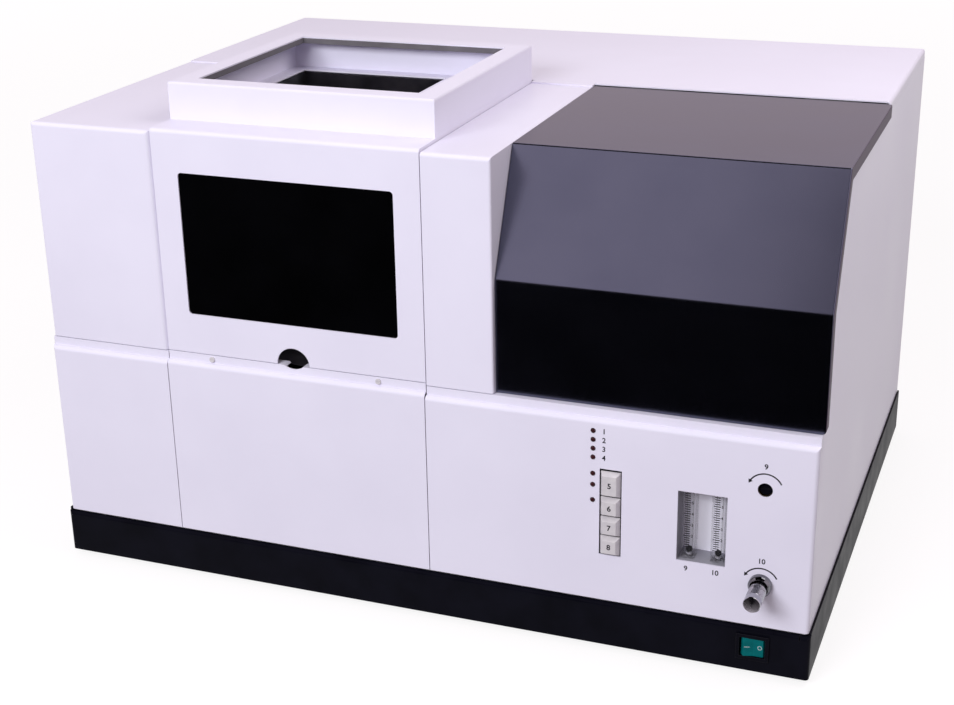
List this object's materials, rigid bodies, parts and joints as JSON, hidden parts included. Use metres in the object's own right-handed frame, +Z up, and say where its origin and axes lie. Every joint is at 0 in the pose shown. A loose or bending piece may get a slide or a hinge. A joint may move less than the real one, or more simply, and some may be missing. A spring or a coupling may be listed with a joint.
{
  "type": "atomic absorption spectrophotometer",
  "caption": "Bench spectrophotometer cabinet with a lift-up burner hood and chimney, a hinged black lamp cover, a gas panel with flowmeter, buttons and valve, on a black plinth.",
  "frame": {"origin": "on the bench, under the middle of the plinth", "axes": "+X to the right seen from the front, +Y to the back, +Z up"},
  "size_m": [0.84, 0.73, 0.546],
  "materials": {
    "cabinet_paint": "satin lavender-white paint",
    "plinth_paint": "satin black paint",
    "zinc_steel": "zinc plated",
    "stainless": "brushed stainless",
    "cast_alloy": "cast and machined",
    "foot_rubber": "matte",
    "cover_black": "high gloss",
    "window_dark": "dark tinted pane",
    "trim_grey": "matte",
    "white_polymer": "smooth",
    "black_plastic": "fine grain",
    "lamp_glass": "clear",
    "mirror_coat": "front-surface mirror",
    "board": "solder resist",
    "brass_parts": "turned",
    "chrome_parts": "plated",
    "acrylic": "clear acrylic",
    "button_cream": "smooth",
    "indicator_red": "unlit tinted lens",
    "rocker_green": "translucent green"
  },
  "bodies": {
    "cabinet": {"left_side_panel": "cabinet_paint", "right_side_panel": "cabinet_paint", "rear_panel": "cabinet_paint", "rear_top_cover": "cabinet_paint", "left_upper_cover": "cabinet_paint", "optics_column": "cabinet_paint", "lower_left_panel": "cabinet_paint", "lower_middle_panel": "cabinet_paint", "control_panel": "cabinet_paint", "base_plinth": "plinth_paint", "base_plate": "zinc_steel", "hinge_rail": "zinc_steel", "hinge_rod": "zinc_steel", "lamp_tray": "zinc_steel", "power_supply": "zinc_steel", "panel_screws": "zinc_steel", "burner_chamber": "stainless", "burner_post": "stainless", "monochromator_body": "cast_alloy", "monochromator_lid": "cast_alloy", "gas_manifold": "cast_alloy", "rubber_feet": "foot_rubber", "flowmeter_body": "white_polymer", "turret_motor": "black_plastic", "lens_barrels": "black_plastic", "detector_tube": "black_plastic", "fan_frame": "black_plastic", "mains_inlet": "black_plastic", "button_block": "black_plastic", "rocker_frame": "black_plastic", "mirrors": "mirror_coat", "main_board": "board", "control_board": "board", "gas_inlets": "brass_parts", "gas_regulator": "brass_parts", "needle_valve": "chrome_parts", "flow_tubes": "acrylic", "indicator_lamps": "indicator_red"},
    "hood": {"burner_hood": "cabinet_paint", "hood_window": "window_dark", "chimney_trim": "trim_grey"},
    "lamp_cover": {"lamp_cover": "cover_black"},
    "valve_knob": {"valve_knob": "chrome_parts"},
    "oxidant_adjuster": {"oxidant_adjuster": "black_plastic"},
    "select_button": {"select_button": "button_cream"},
    "ignite_button": {"ignite_button": "button_cream"},
    "check_button": {"check_button": "button_cream"},
    "purge_button": {"purge_button": "button_cream"},
    "rocker": {"rocker": "rocker_green"},
    "oxidant_float": {"oxidant_float": "black_plastic"},
    "fuel_float": {"fuel_float": "black_plastic"},
    "fan_rotor": {"fan_rotor": "black_plastic"},
    "turret": {"lamp_turret": "cast_alloy", "lamp_envelopes": "lamp_glass", "lamp_bases": "black_plastic"},
    "grating_table": {"grating_table": "stainless"},
    "burner_carriage": {"burner_carriage": "cast_alloy", "spray_chamber": "white_polymer", "nebulizer": "stainless"},
    "burner_head": {"burner_head": "stainless"}
  },
  "joints": [
    {"name": "hood_lift", "type": "hinge", "parent": "cabinet", "child": "hood", "pos_m": [0, 0.015, 0.5015], "axis": [-1, 0, 0], "range_deg": [0, 65]},
    {"name": "lamp_cover_lift", "type": "hinge", "parent": "cabinet", "child": "lamp_cover", "pos_m": [0, 0.015, 0.5015], "axis": [-1, 0, 0], "range_deg": [0, 70]},
    {"name": "valve_turn", "type": "hinge", "parent": "cabinet", "child": "valve_knob", "pos_m": [0.3685, -0.345, 0.104], "axis": [0, -1, 0], "range_deg": [0, 1080]},
    {"name": "oxidant_turn", "type": "hinge", "parent": "cabinet", "child": "oxidant_adjuster", "pos_m": [0.3685, -0.31, 0.205], "axis": [0, -1, 0], "range_deg": [0, 720]},
    {"name": "select_press", "type": "slide", "parent": "cabinet", "child": "select_button", "axis": [0, 1, 0], "range_m": [0, 0.003], "stiffness_N_per_m": 500},
    {"name": "ignite_press", "type": "slide", "parent": "cabinet", "child": "ignite_button", "axis": [0, 1, 0], "range_m": [0, 0.003], "stiffness_N_per_m": 500},
    {"name": "check_press", "type": "slide", "parent": "cabinet", "child": "check_button", "axis": [0, 1, 0], "range_m": [0, 0.003], "stiffness_N_per_m": 500},
    {"name": "purge_press", "type": "slide", "parent": "cabinet", "child": "purge_button", "axis": [0, 1, 0], "range_m": [0, 0.003], "stiffness_N_per_m": 500},
    {"name": "rocker_tip", "type": "hinge", "parent": "cabinet", "child": "rocker", "pos_m": [0.3642, -0.318, 0.035], "axis": [0, 0, 1], "range_deg": [-16, 0]},
    {"name": "oxidant_float_rise", "type": "slide", "parent": "cabinet", "child": "oxidant_float", "axis": [0, 0, 1], "range_m": [0, 0.056]},
    {"name": "fuel_float_rise", "type": "slide", "parent": "cabinet", "child": "fuel_float", "axis": [0, 0, 1], "range_m": [0, 0.056]},
    {"name": "fan_spin", "type": "hinge", "parent": "cabinet", "child": "fan_rotor", "pos_m": [0.2, 0.31, 0.24], "axis": [0, 1, 0], "continuous": true},
    {"name": "turret_index", "type": "hinge", "parent": "cabinet", "child": "turret", "pos_m": [0.3, -0.14, 0.352], "axis": [1, 0, 0], "range_deg": [0, 300]},
    {"name": "grating_scan", "type": "hinge", "parent": "cabinet", "child": "grating_table", "pos_m": [-0.238, 0.1405, 0.38], "axis": [0, 0, 1], "range_deg": [-20, 35]},
    {"name": "burner_height", "type": "slide", "parent": "cabinet", "child": "burner_carriage", "axis": [0, 0, 1], "range_m": [-0.01, 0.01]},
    {"name": "burner_swivel", "type": "hinge", "parent": "burner_carriage", "child": "burner_head", "pos_m": [-0.1631, -0.14, 0.37], "axis": [0, 0, 1], "range_deg": [0, 90]}
  ]
}
